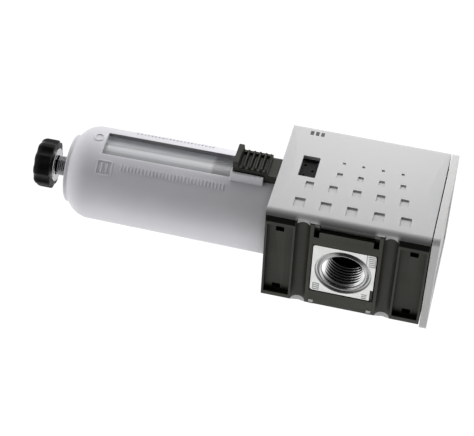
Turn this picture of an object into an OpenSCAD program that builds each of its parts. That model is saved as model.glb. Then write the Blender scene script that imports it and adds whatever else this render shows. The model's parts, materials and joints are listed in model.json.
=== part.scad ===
// Inline compressed air filter: moulded housing with a threaded zinc bushing in each
// end, clip-on covers, bayonet bowl with guard, sliding bowl lock and screw-down drain.
// +Z up (bowl hangs down), +X out of the outlet port, -Y the front cover.
// The origin is the middle of the straight line through both ports.

/* [Housing] */
// Width from port face to port face
body_w = 63; // [60:1:66]
// Height of the housing covers, split evenly about the port axis
body_h = 77.2; // [77:0.1:80]
// Distance from the port axis forward to the face of the front cover
front_y = 31.9; // [31.5:0.1:33]
// Distance from the port axis back to the rear edge of the housing sides
back_y = 24.3; // [24:0.1:26]
// Thickness of the top cover plate
top_t = 3.5; // [3:0.1:5]
// Depth of the recessed end panels in the housing sides
panel_d = 2.5; // [1.5:0.1:2.8]
// Radius of the long rounded edges of the front cover
edge_r = 3; // [2.5:0.1:3.2]

/* [Ports] */
// Radius of the port bores, the major radius of a G1/2 thread
port_r = 10.48; // [9:0.01:10.6]
// Depth of the threaded part of each port
port_depth = 15.2; // [14:0.1:16]
// Side of the square flange of each port bushing
port_sq = 30.2; // [29:0.1:30.4]
// Outer radius of the cast groove around the port mouth
port_groove_r = 13.6; // [13.5:0.1:14.2]

/* [Bowl and guard] */
// How far the bowl axis lies in front of the port axis
bowl_off = 3.8; // [3.6:0.1:3.8]
// Outer radius of the bowl guard at its top edge
guard_r_top = 23.5; // [23.4:0.1:23.6]
// Outer radius of the bowl guard near its lower end
guard_r_low = 22.85; // [22.6:0.05:23]
// Radius of the rounded lower shoulder of the guard
guard_shoulder = 12; // [11:0.5:13]
// Level of the flat lower end of the guard below the port axis
guard_bottom = 142; // [141.7:0.1:142.3]
// Width of the sight slot in the guard
slot_w = 14.2; // [13:0.1:14.4]
// Upper end of the sight slot below the port axis
slot_top = 61.5; // [61.2:0.1:64]
// Lower end of the sight slot below the port axis
slot_low = 125; // [118:1:126]
// Outer radius of the bowl
bowl_r = 19.5; // [19.3:0.1:19.6]
// Wall thickness of the bowl
bowl_wall = 2.2; // [1.8:0.1:2.4]

/* [Bowl lock] */
// Half width of the lock button
btn_hw = 6.9; // [6:0.1:7]
// Offset of the lock and the sight slot from the bowl centre towards the outlet
lock_x = 1; // [0.8:0.1:1.2]
// Number of grip ribs on the lock button
btn_ribs = 5; // [4:1:5]
// Turn of the bowl between locked and released
bayonet_turn = 45; // [45:1:46]

/* [Filter element] */
// Outer radius of the filter element
element_r = 13.6; // [12:0.1:14]
// Length of the filter element
element_len = 26; // [22:1:28]

/* [Drain] */
// Outer radius of the drain stem, the major radius of a G1/8 thread
stem_r = 4.86; // [4.6:0.01:4.9]
// Outer radius of the drain knob over its lobes
knob_r = 12; // [11:0.1:12.5]
// Number of lobes on the drain knob
knob_lobes = 10; // [6:1:12]
// Height of the drain knob
knob_h = 8.5; // [8.4:0.1:9]
// Radius of the outlet recess under the knob
outlet_r = 3.8; // [3.5:0.1:4.5]

/* [Hidden] */
$fn = 72;
hw = body_w / 2;
hh = body_h / 2;
by = -bowl_off;
grey = [0.80, 0.80, 0.81];
guard_grey = [0.74, 0.74, 0.77];
black = [0.15, 0.15, 0.14];
zinc = [0.78, 0.79, 0.80];
clear_c = [0.75, 0.78, 0.80, 0.35];
rubber = [0.08, 0.08, 0.08];
steel = [0.72, 0.72, 0.70];
chan_z = 20.7;      // centres of the clamp channels on the port faces
chan_r = 3.6;       // radius of the clamp channels
notch_z = 14.1;     // centres of the small latch notches
sock_r = 19.85;     // seal bore in the body
lip_r = 22.2;       // bayonet lip, inner radius
groove_r = 24.3;    // bayonet groove, outer radius
guard_top = -38.9;
neck_r = 21.9;
lug_r = 23.85;
lug_at = [90, 210, 330];
el_top = -32;
el_bot = el_top - element_len;

// ---------- shared shapes ----------
// Square prism along X with rounded corners, from x0 to x1.
module sq_x(s, x0, x1, r) {
    translate([x0, 0, 0]) rotate([90, 0, 90]) linear_extrude(height = x1 - x0) union() {
        square([s, s - 2 * r], center = true);
        square([s - 2 * r, s], center = true);
        for (i = [-1, 1], j = [-1, 1]) translate([i * (s / 2 - r), j * (s / 2 - r)]) circle(r, $fn = 40);
    }
}
// Ring sector about Z, r0 to r1, z0 to z1, centred on angle a with half width h degrees.
module sector(r0, r1, z0, z1, a, h) {
    rotate([0, 0, a - h]) rotate_extrude(angle = 2 * h) translate([r0, z0]) square([r1 - r0, z1 - z0]);
}
module ring(r0, r1, z0, z1) {
    rotate_extrude() translate([r0, z0]) square([r1 - r0, z1 - z0]);
}
module cyl(r, z0, z1) { translate([0, 0, z0]) cylinder(r = r, h = z1 - z0); }
module torus(rc, r, z) { rotate_extrude() translate([rc, z]) circle(r, $fn = 24); }
module on_bowl() { translate([0, by, 0]) children(); }
module box3(a, b) { translate(a) cube([b[0] - a[0], b[1] - a[1], b[2] - a[2]]); }
// Arc points from angle a0 to a1.
function arc(c, r, a0, a1, n) = [for (i = [0:n]) [c[0] + r * cos(a0 + (a1 - a0) * i / n), c[1] + r * sin(a0 + (a1 - a0) * i / n)]];
// Compression spring along Z.
function coil_pt(r, z0, z1, turns, t, n) = [r * cos(360 * turns * t / n), r * sin(360 * turns * t / n), z0 + (z1 - z0) * t / n];
module coil(r, wire, z0, z1, turns) {
    n = turns * 16; m = 8; za = z0 + wire; zb = z1 - wire;
    pts = [for (i = [0:n]) let (c = coil_pt(r, za, zb, turns, i, n), a = 360 * turns * i / n)
        for (j = [0:m - 1]) let (b = 360 * j / m)
            [c[0] + wire * cos(b) * cos(a), c[1] + wire * cos(b) * sin(a), c[2] + wire * sin(b)]];
    side = [for (i = [0:n - 1], j = [0:m - 1]) [i * m + j, i * m + (j + 1) % m, (i + 1) * m + (j + 1) % m, (i + 1) * m + j]];
    polyhedron(points = pts, faces = concat(side, [[for (j = [m - 1:-1:0]) j]], [[for (j = [0:m - 1]) n * m + j]]));
}
module channels(x0, x1, y0, y1, r) {
    for (s = [-1, 1], k = [-1, 1]) translate([s * (hw + 0.3), y0, k * chan_z]) rotate([-90, 0, 0]) cylinder(r = r, h = y1 - y0);
}

// ---------- housing ----------
// Outer features of one side face, made for +X: everything here is cut away.
module side_cuts() {
    for (k = [-1, 1]) {
        // clamp channel across the side
        translate([hw + 0.3, -30, k * chan_z]) rotate([-90, 0, 0]) cylinder(r = chan_r, h = 60);
        // recessed end panel with two latch slots
        translate([hw - panel_d, -22.9, k > 0 ? 25.3 : -hh + 1.1]) cube([3, 44.9, hh - 1.1 - 25.3]);
        for (y = [-18.8, 19.6]) translate([hw - 4.6, y - 1.5, k * 31.8 - 2]) cube([5, 3, 4]);
        // latch notches, front and back
        translate([hw - 3, -29, k * notch_z - 1.3]) cube([4, 8.8, 2.6]);
        translate([hw - 3, 22, k * notch_z - 1.25]) cube([4, 4, 2.5]);
    }
    // step between the front notches, for the tongue of the front cover
    translate([hw - 5, -29, -notch_z]) cube([6, 5.1, 2 * notch_z]);
    // bevelled front edge
    translate([hw, -28.7, 0]) rotate([0, 0, 45]) cube([1.1, 1.1, 100], center = true);
    // seat of the threaded bushing
    difference() {
        sq_x(port_sq + 0.3, hw - 4.1, hw + 1, 1.8);
        translate([hw - 2.1, 8.2, 14]) cube([1.8, 8, 2]);
    }
    translate([hw - port_depth - 0.2, 0, 0]) rotate([0, 90, 0]) cylinder(r = 12.66, h = 16);
}
module housing() {
    color(black) difference() {
        union() {
            box3([-26.2, -24.6, -30.9], [26.2, 21.5, 36.5]);
            on_bowl() cyl(25.6, -38, -30.7);
            box3([-26.1, -18, -38], [26.1, 21.3, -30]);
            for (s = [-1, 1]) box3([s * (hw - 2.8) - 2.8, -28.7, -hh], [s * (hw - 2.8) + 2.8, back_y, hh]);
        }
        side_cuts();
        mirror([1, 0, 0]) side_cuts();
        // outlet passage and riser from the element
        translate([-3.2, 0, 0]) rotate([0, 90, 0]) cylinder(r = 7, h = hw - port_depth + 4.2);
        on_bowl() cyl(6, -28, -0.4);
        // inlet passage and drop into the swirl chamber
        translate([-hw + port_depth - 1, 0, 0]) rotate([0, 90, 0]) cylinder(r = 7, h = 6.7);
        translate([-14, -2, -24]) cylinder(r = 4.2, h = 24);
        // swirl chamber around the central boss
        on_bowl() difference() { cyl(sock_r, -38.1, -19); cyl(9.5, -27, -18); }
        // bayonet: flange room, groove, lip gaps and detent slot
        on_bowl() {
            cyl(lip_r, -38.1, -29.5);
            cyl(groove_r, -36.2, -31.4);
            for (a = lug_at) sector(20, groove_r - 0.15, -38.1, -36, a + bayonet_turn, 19);
            sector(22.9, 24.9, -38.1, -36.8, 294.8, 32);
        }
        // hollow upper half of the moulding
        box3([-23, -21, 15.5], [23, 18, 37]);
        // pocket behind the window in the front cover
        box3([-12, -30, -30.8], [7, -24.4, -19]);
        // hole for the tie stud in the roof of the outlet passage
        on_bowl() cyl(2.02, -1, 12);
        // blind holes for the cover screws
        for (i = [-1, 1], j = [-1, 1]) translate([i * 21, 14.4, j * 31]) rotate([-90, 0, 0]) cylinder(r = 1.7, h = 10);
    }
}

// Threaded bushing, made for +X: square flange, round barrel, cast groove around the mouth.
module port_bushing() {
    color(zinc) difference() {
        union() {
            sq_x(port_sq, hw - 4, hw - 0.1, 1.6);
            translate([hw - port_depth, 0, 0]) rotate([0, 90, 0]) cylinder(r = 12.6, h = port_depth - 2);
        }
        translate([hw - port_depth - 1, 0, 0]) rotate([0, 90, 0]) cylinder(r = port_r, h = port_depth + 3);
        // lead-in cone at the mouth
        translate([hw - 0.6, 0, 0]) rotate([0, 90, 0]) cylinder(r1 = port_r, r2 = port_r + 1.5, h = 1.5);
        // cast groove around the mouth
        translate([hw - 0.1, 0, 0]) rotate([0, 90, 0]) rotate_extrude() polygon([[port_groove_r, 1], [port_groove_r, 0], [port_groove_r - 0.3, -1.1],
            [port_groove_r - 1, -1.35], [port_groove_r - 1.7, -0.9], [port_groove_r - 2.4, 0], [port_groove_r - 2.4, 1]]);
        // seal groove
        translate([hw - port_depth + 2.4, 0, 0]) rotate([0, 90, 0]) difference() { cylinder(r = 13, h = 1.7); translate([0, 0, -1]) cylinder(r = 11.2, h = 4); }
        // notch for the locating key of the housing
        translate([hw - 2.3, 8, 13.8]) cube([3, 9, 3]);
    }
}
module port_bushing_outlet() { port_bushing(); }
module port_bushing_inlet() { mirror([1, 0, 0]) port_bushing(); }
module bushing_orings() {
    color(rubber) for (s = [-1, 1]) translate([s * (hw - port_depth + 3.25), 0, 0]) rotate([0, 90, 0]) torus(11.93, 0.71, 0);
}

dimple_rows = [ // x of the row, pitch along z, index range, size along x, size along z
    [-8.9, 9.5, -1, 2, 1.5, 1.6],
    [-0.3, 10.1, -1, 2, 3.4, 2.8],
    [10, 11.3, -2, 2, 4.9, 4.1],
    [22.5, 12.5, -2, 2, 6.2, 5.2]];

module cover_profile(t) { // section of the front cover in X and Y
    ye = -front_y;
    polygon(concat(
        arc([-hw + edge_r, ye + edge_r], edge_r, 180, 270, 12),
        arc([hw - edge_r, ye + edge_r], edge_r, 270, 360, 12),
        [[hw, -28.8], [hw - t, -28.8]],
        arc([hw - edge_r, ye + edge_r], edge_r - t, 360, 270, 8),
        arc([-hw + edge_r, ye + edge_r], edge_r - t, 270, 180, 8),
        [[-hw + t, -28.8], [-hw, -28.8]]));
}

module front_cover() {
    color(grey) difference() {
        union() {
            translate([0, 0, -hh]) linear_extrude(height = 2 * hh) cover_profile(2);
            // side tongues between the latch notches, blocks behind the channel saddles
            for (s = [0, 1]) mirror([s, 0, 0]) {
                translate([0, 0, -12.6]) linear_extrude(height = 25.2) polygon([[29.3, -30.2], [31.1, -29.2], [29.4, -24.1], [27.6, -24.1]]);
                for (k = [-25.4, 16]) translate([0, 0, k]) linear_extrude(height = 9.4) polygon(concat(
                    [[27.6, -28.85]], arc([hw - edge_r, -front_y + edge_r], edge_r - 0.01, 282, 360, 8), [[hw - 0.01, -28.85]]));
            }
            // locating pegs
            for (i = [-1, 1], j = [-1, 1]) translate([i * 20, -30.4, j * 30 + 2]) rotate([-90, 0, 0]) cylinder(r = 2.4, h = 5.78);
            // upper end wall
            translate([-26, -30.4, hh - 2]) cube([52, 1.9, 2]);
        }
        channels(-hw, hw, -front_y - 1, -27, chan_r);
        for (d = dimple_rows, i = [d[2]:d[3]])
            translate([d[0] - d[4] / 2, -front_y - 0.5, d[1] * i - d[5] / 2]) cube([d[4], 1.4, d[5]]);
        // window
        translate([-9.7, -front_y - 1, -29.5]) cube([14.4, 4, 8.3]);
    }
}

module window_insert() {
    color(black) difference() {
        box3([-11, -29.85, -30.6], [6, -27.3, -20]);
        for (p = [[-5.6, -27.6], [1.4, -27.2], [-2.2, -23.6]])
            translate([p[0], -30.5, p[1]]) rotate([-90, 0, 0]) cylinder(r = 0.65, h = 2.2, $fn = 24);
        translate([-8.4, -30.2, -28.3]) cube([11.8, 0.75, 5.9]);
    }
    color(black) box3([-9, -27.35, -28.5], [4, -24.45, -22]);
}

module rear_cover() {
    color(grey) difference() {
        union() {
            difference() {
                translate([0, 0, -hh]) linear_extrude(height = 2 * hh)
                    polygon([[-hw, back_y + 0.05], [hw, back_y + 0.05], [hw - 0.4, back_y + 0.6], [hw - 3, back_y + 3], [-hw + 3, back_y + 3], [-hw + 0.4, back_y + 0.6]]);
                translate([-24, back_y - 1, -hh + 3]) cube([48, 2.8, 2 * hh - 6]);
            }
            for (i = [-1, 1], j = [-1, 1]) translate([i * 21, 21.55, j * 31]) rotate([-90, 0, 0]) cylinder(r = 4.4, h = 4.5);
            // tabs in the rear latch notches of the housing
            for (s = [-1, 1], k = [-1, 1]) translate([s * 29.9 - 1.3, 22.1, k * notch_z - 1.2]) cube([2.6, 2.9, 2.4]);
            // raised centre panel
            translate([-20, back_y + 2.9, -24]) cube([40, 0.9, 48]);
        }
        channels(-hw, hw, back_y - 1, back_y + 4, chan_r);
        for (i = [-1, 1], j = [-1, 1]) translate([i * 21, 20, j * 31]) rotate([-90, 0, 0]) {
            cylinder(r = 1.8, h = 10);
            translate([0, 0, 5.6]) cylinder(r = 3.4, h = 5);
        }
    }
}

module cover_screws() {
    color(steel) for (i = [-1, 1], j = [-1, 1]) translate([i * 21, 0, j * 31]) rotate([-90, 0, 0]) difference() {
        union() {
            translate([0, 0, 14.6]) cylinder(r = 1.6, h = 11.4);
            translate([0, 0, 25.62]) cylinder(r1 = 3.1, r2 = 2.7, h = 1.5);
        }
        for (a = [0, 90]) rotate([0, 0, a]) translate([-1.7, -0.3, 26.2]) cube([3.4, 0.6, 2]);
    }
}

module top_cover() {
    ye = -front_y;
    color(grey) difference() {
        union() {
            translate([0, 0, hh + 0.5]) linear_extrude(height = top_t) polygon(concat(
                arc([-hw + edge_r, ye + edge_r], edge_r, 180, 270, 12),
                arc([hw - edge_r, ye + edge_r], edge_r, 270, 360, 12),
                [[hw, back_y + 0.2], [hw - 1, back_y + 3], [-hw + 1, back_y + 3], [-hw, back_y + 0.2]]));
            for (i = [-1, 1], y = [-23, 20]) translate([i * 24.6, y, 36.55]) cylinder(r = 1.3, h = 3);
        }
        // shallow recess in the top face
        translate([-22, -20, hh + top_t]) cube([44, 36, 2]);
    }
}

// ---------- filter internals ----------
module tie_stud() { color(steel) on_bowl() cyl(2, el_bot - 5, 11.8); }

module swirl_deflector() {
    color(black) on_bowl() {
        difference() {
            union() { ring(9.56, 11.2, -31, -21.5); ring(9.56, 15.8, -31, -30); }
            for (i = [0:11]) rotate([0, 0, 30 * i]) translate([12.8, -0.9, -31.5]) cube([2.6, 3.2, 2]);
        }
        for (i = [0:11]) rotate([0, 0, 30 * i]) translate([10.9, 0, -28]) rotate([35, 0, 0]) cube([4.6, 0.9, 5], center = false);
    }
}

module element_gasket_top() { color(rubber) on_bowl() ring(7, 13, -32, -31.02); }
module filter_element() { color([0.93, 0.92, 0.87]) on_bowl() ring(9, element_r, el_bot, el_top - 0.02); }
module element_gasket_bottom() { color(rubber) on_bowl() ring(7, 13, el_bot - 1, el_bot - 0.02); }

module baffle() {
    color(black) on_bowl() difference() {
        rotate_extrude() polygon([[2.03, el_bot - 1.02], [13.2, el_bot - 1.02], [14, el_bot - 1.4], [15.6, el_bot - 6], [14.6, el_bot - 6.4], [12.4, el_bot - 3.2],
            [4.6, el_bot - 3.2], [4.2, el_bot - 7.5], [2.03, el_bot - 7.5]]);
        for (i = [0:7]) rotate([0, 0, 45 * i + 22]) translate([16.4, 0, el_bot - 8]) cylinder(r = 1.3, h = 8, $fn = 24);
    }
}

// ---------- bowl ----------
module bowl() {
    ri = bowl_r - bowl_wall; zb = -(guard_bottom - 4.1);
    color(clear_c) on_bowl() rotate_extrude() polygon(concat(
        [[16.2, -21.6], [19.5, -21.6], [19.7, -22.2], [19.7, -23.3], [17.6, -23.3], [17.6, -25.9], [19.7, -25.9], [19.7, -29.8], [21.8, -29.8], [21.8, -31.5],
         [bowl_r, -31.5], [bowl_r, zb + 10.2]],
        arc([bowl_r - 10, zb + 10], 10, 0, -90, 12),
        [[4.98, zb], [4.98, zb + 2.8], [bowl_r - 9.6, zb + 2.8]],
        arc([ri - 7.4, zb + 10.2], 7.4, -90, 0, 10),
        [[ri, -34], [16.2, -31.5]]));
}
module bowl_oring() { color(rubber) on_bowl() torus(18.72, 1.08, -24.6); }

module guard_profile() {
    c = [guard_r_low - guard_shoulder, -guard_bottom + guard_shoulder];
    polygon(concat(
        [[20, -31.62], [neck_r, -31.62], [neck_r, guard_top], [guard_r_top - 0.5, guard_top], [guard_r_top, guard_top - 0.6], [guard_r_low, -guard_bottom + guard_shoulder]],
        arc(c, guard_shoulder, -4, -62, 14),
        [[16.5, -guard_bottom - 0.8], [15.5, -guard_bottom - 0.8], [15, -guard_bottom], [5.6, -guard_bottom], [5.6, -guard_bottom + 2],
         [c[0], -guard_bottom + 2]],
        arc(c, guard_shoulder - 2.2, -88, 0, 14),
        [[guard_r_low - 2.2, -44], [20, -41]]));
}
module bowl_guard() {
    color(guard_grey) on_bowl() {
        difference() {
            union() {
                rotate_extrude() guard_profile();
                for (a = lug_at) sector(21, lug_r, -35.8, -32.2, a, 15);
                // side rails and end post for the lock button
                rails();
            }
            // sight slot
            translate([lock_x - slot_w / 2, -30, -slot_low]) cube([slot_w, 12, slot_low - slot_top]);
        }
        // raised ring and bars on the front face
        translate([0, -guard_r_low + 0.6, -128.6]) rotate([90, 0, 0]) difference() { cylinder(r = 2.6, h = 0.95); translate([0, 0, 0.3]) cylinder(r = 2, h = 2); }
    }
}
module rails() { // in bowl-axis coordinates
    y1 = -(29.8 + by);
    difference() {
        union() {
            for (s = [-1, 1]) translate([lock_x + s * 8.05 - 0.85, y1, -61]) cube([1.7, -y1 - 19.5, 16]);
            translate([lock_x - 1.6, -(30.1 + by), -57.9]) cube([3.2, 30.1 + by - 21.6, 1.6]);
        }
        cyl(21.2, -70, -40);
    }
}

module lock_button() {
    color(black) difference() {
        translate([lock_x, 0, 0]) difference() {
            union() {
                box3([-btn_hw, -32.1, -60.2], [btn_hw, -24, -43.4]);
                box3([-btn_hw, -30.2, -44], [btn_hw, -24, -38.75]);
                box3([-btn_hw, -35.2, -60.2], [btn_hw, -31, -57.4]);
                for (i = [0:btn_ribs - 1]) box3([-btn_hw, -33.3, -44.6 - 2.8 * i], [btn_hw, -31, -43.4 - 2.8 * i]);
            }
            // spring pocket
            box3([-2.3, -30.9, -58.8], [2.3, -24, -46]);
        }
        on_bowl() cyl(23.8, -70, -38.7);
    }
}
module lock_tooth() { color(black) on_bowl() sector(23.85, 24.7, -38.73, -37.1, 272.4, 7); }
module lock_spring() { color(steel) translate([lock_x, -29.1, 0]) coil(1.15, 0.25, -56.28, -46.02, 6); }

// ---------- drain ----------
module drain_stem() {
    zb = -(guard_bottom - 4.1);
    color(zinc) on_bowl() difference() {
        union() {
            cyl(stem_r, -150.15, zb + 3);
            cyl(7.6, zb + 3.9, zb + 6.2);
            cyl(stem_r, zb + 2, zb + 4);
            cyl(3.4, zb + 6, zb + 9);
        }
        cyl(3.3, -155, -140);
        cyl(1.7, -141, zb + 10);
    }
}
module drain_gasket() { zb = -(guard_bottom - 4.1); color(rubber) on_bowl() ring(4.9, 7.4, zb + 2.82, zb + 3.88); }
module drain_nut() {
    zb = -(guard_bottom - 4.1);
    color(zinc) on_bowl() difference() { translate([0, 0, zb - 1.9]) cylinder(r = 8, h = 1.88, $fn = 6); cyl(4.9, zb - 3, zb + 1); }
}
module drain_spring_seat() { color(steel) on_bowl() ring(1.6, 3.28, -150.1, -149.3); }
module drain_spring() { color(steel) on_bowl() coil(2.35, 0.3, -149.28, -144.02, 5); }
module drain_valve() {
    color(steel) on_bowl() difference() {
        union() {
            cyl(1.3, -157.1, -143);
            ring(0, 3.0, -144, -141.2);
            cyl(2.4, -155.15, -154.5);
        }
        cyl(0.7, -159, -145.5);
        translate([0, 0, -146.2]) rotate([90, 0, 0]) cylinder(r = 0.45, h = 4, center = true, $fn = 24);
        for (i = [0:2]) rotate([0, 0, 120 * i]) translate([3.3, 0, -144.5]) cylinder(r = 0.9, h = 4, $fn = 24);
    }
}
module drain_seal() { color(rubber) on_bowl() cyl(2.6, -141.18, -140.03); }
module drain_knob() {
    z1 = -151.3; z0 = z1 - knob_h;
    color(black) on_bowl() difference() {
        rotate_extrude() polygon([[0, z0], [knob_r - 1.6, z0], [knob_r - 0.3, z0 + 1], [knob_r, z0 + 2.6], [knob_r, z1 - 0.4], [knob_r - 0.4, z1], [0, z1]]);
        // shallow grip flutes
        for (i = [0:knob_lobes - 1]) rotate([0, 0, 360 * i / knob_lobes]) translate([knob_r + 5.2, 0, z0 - 1]) cylinder(r = 6, h = knob_h + 2, $fn = 48);
        // bore over the stem thread, seat of the threaded insert
        cyl(stem_r + 0.06, -155.2, z1 + 1);
        cyl(8.22, z1 - 2.2, z1 + 1);
        // hole for the valve tube and recess under it
        cyl(1.36, z0 - 1, -150);
        cyl(outlet_r, z0 - 1, -157.2);
    }
}
module drain_insert() { color(zinc) on_bowl() ring(stem_r + 0.06, 8.2, -153.48, -150.25); }

housing();
port_bushing_inlet();
port_bushing_outlet();
bushing_orings();
front_cover();
rear_cover();
top_cover();
window_insert();
cover_screws();
tie_stud();
swirl_deflector();
element_gasket_top();
filter_element();
element_gasket_bottom();
baffle();
bowl();
bowl_oring();
bowl_guard();
lock_button();
lock_tooth();
lock_spring();
drain_stem();
drain_gasket();
drain_nut();
drain_spring_seat();
drain_spring();
drain_valve();
drain_seal();
drain_knob();
drain_insert();
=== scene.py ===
import json
import math
import random

import bpy
import bmesh
import numpy as np
from mathutils import Matrix, Vector

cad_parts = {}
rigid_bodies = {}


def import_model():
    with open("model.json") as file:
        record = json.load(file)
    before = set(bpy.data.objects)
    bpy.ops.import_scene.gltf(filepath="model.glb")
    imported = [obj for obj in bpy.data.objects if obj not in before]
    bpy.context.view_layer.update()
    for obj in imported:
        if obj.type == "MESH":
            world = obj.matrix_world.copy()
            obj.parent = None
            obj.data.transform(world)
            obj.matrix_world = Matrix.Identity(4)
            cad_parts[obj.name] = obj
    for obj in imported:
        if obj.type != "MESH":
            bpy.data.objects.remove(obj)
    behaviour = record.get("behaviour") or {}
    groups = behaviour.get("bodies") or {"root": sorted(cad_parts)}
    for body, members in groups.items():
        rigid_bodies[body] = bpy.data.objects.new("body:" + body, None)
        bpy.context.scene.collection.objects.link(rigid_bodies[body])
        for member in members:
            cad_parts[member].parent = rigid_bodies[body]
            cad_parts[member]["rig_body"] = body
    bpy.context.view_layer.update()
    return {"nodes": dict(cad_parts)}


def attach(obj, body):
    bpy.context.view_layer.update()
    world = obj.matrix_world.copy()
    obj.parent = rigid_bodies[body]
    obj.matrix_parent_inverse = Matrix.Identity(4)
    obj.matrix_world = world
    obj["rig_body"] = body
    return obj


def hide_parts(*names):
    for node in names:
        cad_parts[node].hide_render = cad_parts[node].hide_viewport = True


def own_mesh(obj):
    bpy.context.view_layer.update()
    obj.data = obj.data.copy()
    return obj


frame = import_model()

NODES = frame["nodes"]
MM = 0.001
scene = bpy.context.scene
random.seed(7)
rng = np.random.default_rng(7)

BX, BY = 0.0, -3.8          # the bowl axis, mm


# ---------------------------------------------------------------- materials
def new_mat(name):
    m = bpy.data.materials.new(name)
    m.use_nodes = True
    nt = m.node_tree
    for n in list(nt.nodes):
        nt.nodes.remove(n)
    out = nt.nodes.new("ShaderNodeOutputMaterial")
    bsdf = nt.nodes.new("ShaderNodeBsdfPrincipled")
    nt.links.new(bsdf.outputs["BSDF"], out.inputs["Surface"])
    return m, nt, bsdf


def node(nt, kind, **kw):
    n = nt.nodes.new(kind)
    for k, v in kw.items():
        if k in n.inputs:
            n.inputs[k].default_value = v
        else:
            setattr(n, k, v)
    return n


def noise(nt, coord, scale, detail=3.0, rough=0.55, distortion=0.0):
    n = nt.nodes.new("ShaderNodeTexNoise")
    n.inputs["Scale"].default_value = scale
    n.inputs["Detail"].default_value = detail
    n.inputs["Roughness"].default_value = rough
    n.inputs["Distortion"].default_value = distortion
    nt.links.new(coord, n.inputs["Vector"])
    return n.outputs["Fac"]


def remap(nt, val, a, b, lo, hi):
    n = nt.nodes.new("ShaderNodeMapRange")
    for i, v in zip(("From Min", "From Max", "To Min", "To Max"), (a, b, lo, hi)):
        n.inputs[i].default_value = v
    nt.links.new(val, n.inputs["Value"])
    return n.outputs["Result"]


def mix(nt, fac, ca, cb):
    n = nt.nodes.new("ShaderNodeMix")
    n.data_type = "RGBA"
    for i, v in ((6, ca), (7, cb)):
        if isinstance(v, (tuple, list)):
            n.inputs[i].default_value = (*v[:3], 1)
        else:
            nt.links.new(v, n.inputs[i])
    if isinstance(fac, float):
        n.inputs[0].default_value = fac
    else:
        nt.links.new(fac, n.inputs[0])
    return n.outputs[2]


def math2(nt, op, a, b):
    n = nt.nodes.new("ShaderNodeMath")
    n.operation = op
    for i, v in enumerate((a, b)):
        if isinstance(v, (int, float)):
            n.inputs[i].default_value = v
        else:
            nt.links.new(v, n.inputs[i])
    return n.outputs[0]


def bump(nt, height, strength, distance, normal=None):
    n = nt.nodes.new("ShaderNodeBump")
    n.inputs["Strength"].default_value = strength
    n.inputs["Distance"].default_value = distance
    nt.links.new(height, n.inputs["Height"])
    if normal is not None:
        nt.links.new(normal, n.inputs["Normal"])
    return n.outputs["Normal"]


def plastic(name, base, base2, rough, rough2, grain, grain_depth, wear=None, blotch=90.0, spec=0.5, bigbump=0.0, tint=None, edge_shade=False):
    """Moulded plastic: fine spark-eroded grain, slow colour drift, slight polish on the edges."""
    m, nt, b = new_mat(name)
    co = nt.nodes.new("ShaderNodeTexCoord").outputs["Object"]
    slow = noise(nt, co, blotch, 3.0)
    fine = noise(nt, co, grain, 2.0, 0.6)
    speck = noise(nt, co, grain * 0.31, 4.0, 0.7)
    col = mix(nt, remap(nt, slow, 0.35, 0.65, 0.0, 1.0), base, base2)
    if wear:
        geo = nt.nodes.new("ShaderNodeNewGeometry")
        edge = remap(nt, geo.outputs["Pointiness"], 0.505, 0.56, 0.0, 1.0)
        edge = math2(nt, "MULTIPLY", edge, remap(nt, speck, 0.4, 0.6, 0.25, 1.0))
        col = mix(nt, edge, col, wear)
    if edge_shade:
        # painted shade along the lower edge of the long rounded corner, left out at the clamp channels
        sp = nt.nodes.new("ShaderNodeSeparateXYZ")
        nt.links.new(co, sp.inputs[0])
        ax = math2(nt, "ABSOLUTE", sp.outputs["X"], 0.0)
        az = math2(nt, "ABSOLUTE", sp.outputs["Z"], 0.0)
        dz = math2(nt, "ABSOLUTE", math2(nt, "SUBTRACT", az, 0.0187), 0.0)
        g = math2(nt, "MULTIPLY", remap(nt, ax, 0.0298, 0.0313, 0.0, 1.0), remap(nt, sp.outputs["Y"], -0.0290, -0.0284, 1.0, 0.0))
        g = math2(nt, "MULTIPLY", g, remap(nt, dz, 0.0042, 0.0062, 0.12, 1.0))
        col = mix(nt, math2(nt, "MULTIPLY", g, 0.52), col, (0.10, 0.10, 0.098))
        # painted shade: the last two millimetres, where they turn under into the joint, are painted nearly black
        g2 = math2(nt, "MULTIPLY", remap(nt, sp.outputs["Y"], -0.0311, -0.0293, 0.0, 0.95), remap(nt, sp.outputs["Y"], -0.0290, -0.0284, 1.0, 0.0))
        g2 = math2(nt, "MULTIPLY", g2, remap(nt, ax, 0.0300, 0.0309, 0.0, 1.0))
        g2 = math2(nt, "MULTIPLY", g2, remap(nt, dz, 0.0044, 0.0062, 0.0, 1.0))
        col = mix(nt, g2, col, (0.010, 0.010, 0.009))
    nt.links.new(col, b.inputs["Base Color"])
    r = remap(nt, math2(nt, "ADD", math2(nt, "MULTIPLY", slow, 0.5), math2(nt, "MULTIPLY", speck, 0.5)), 0.35, 0.65, rough, rough2)
    nt.links.new(r, b.inputs["Roughness"])
    h = math2(nt, "ADD", fine, math2(nt, "MULTIPLY", speck, 0.5))
    nrm = bump(nt, h, 1.0, grain_depth)
    if bigbump:
        nrm = bump(nt, slow, 1.0, bigbump, nrm)
    nt.links.new(nrm, b.inputs["Normal"])
    b.inputs["Specular IOR Level"].default_value = spec
    if tint:
        b.inputs["Specular Tint"].default_value = (*tint, 1)
    return m


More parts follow.
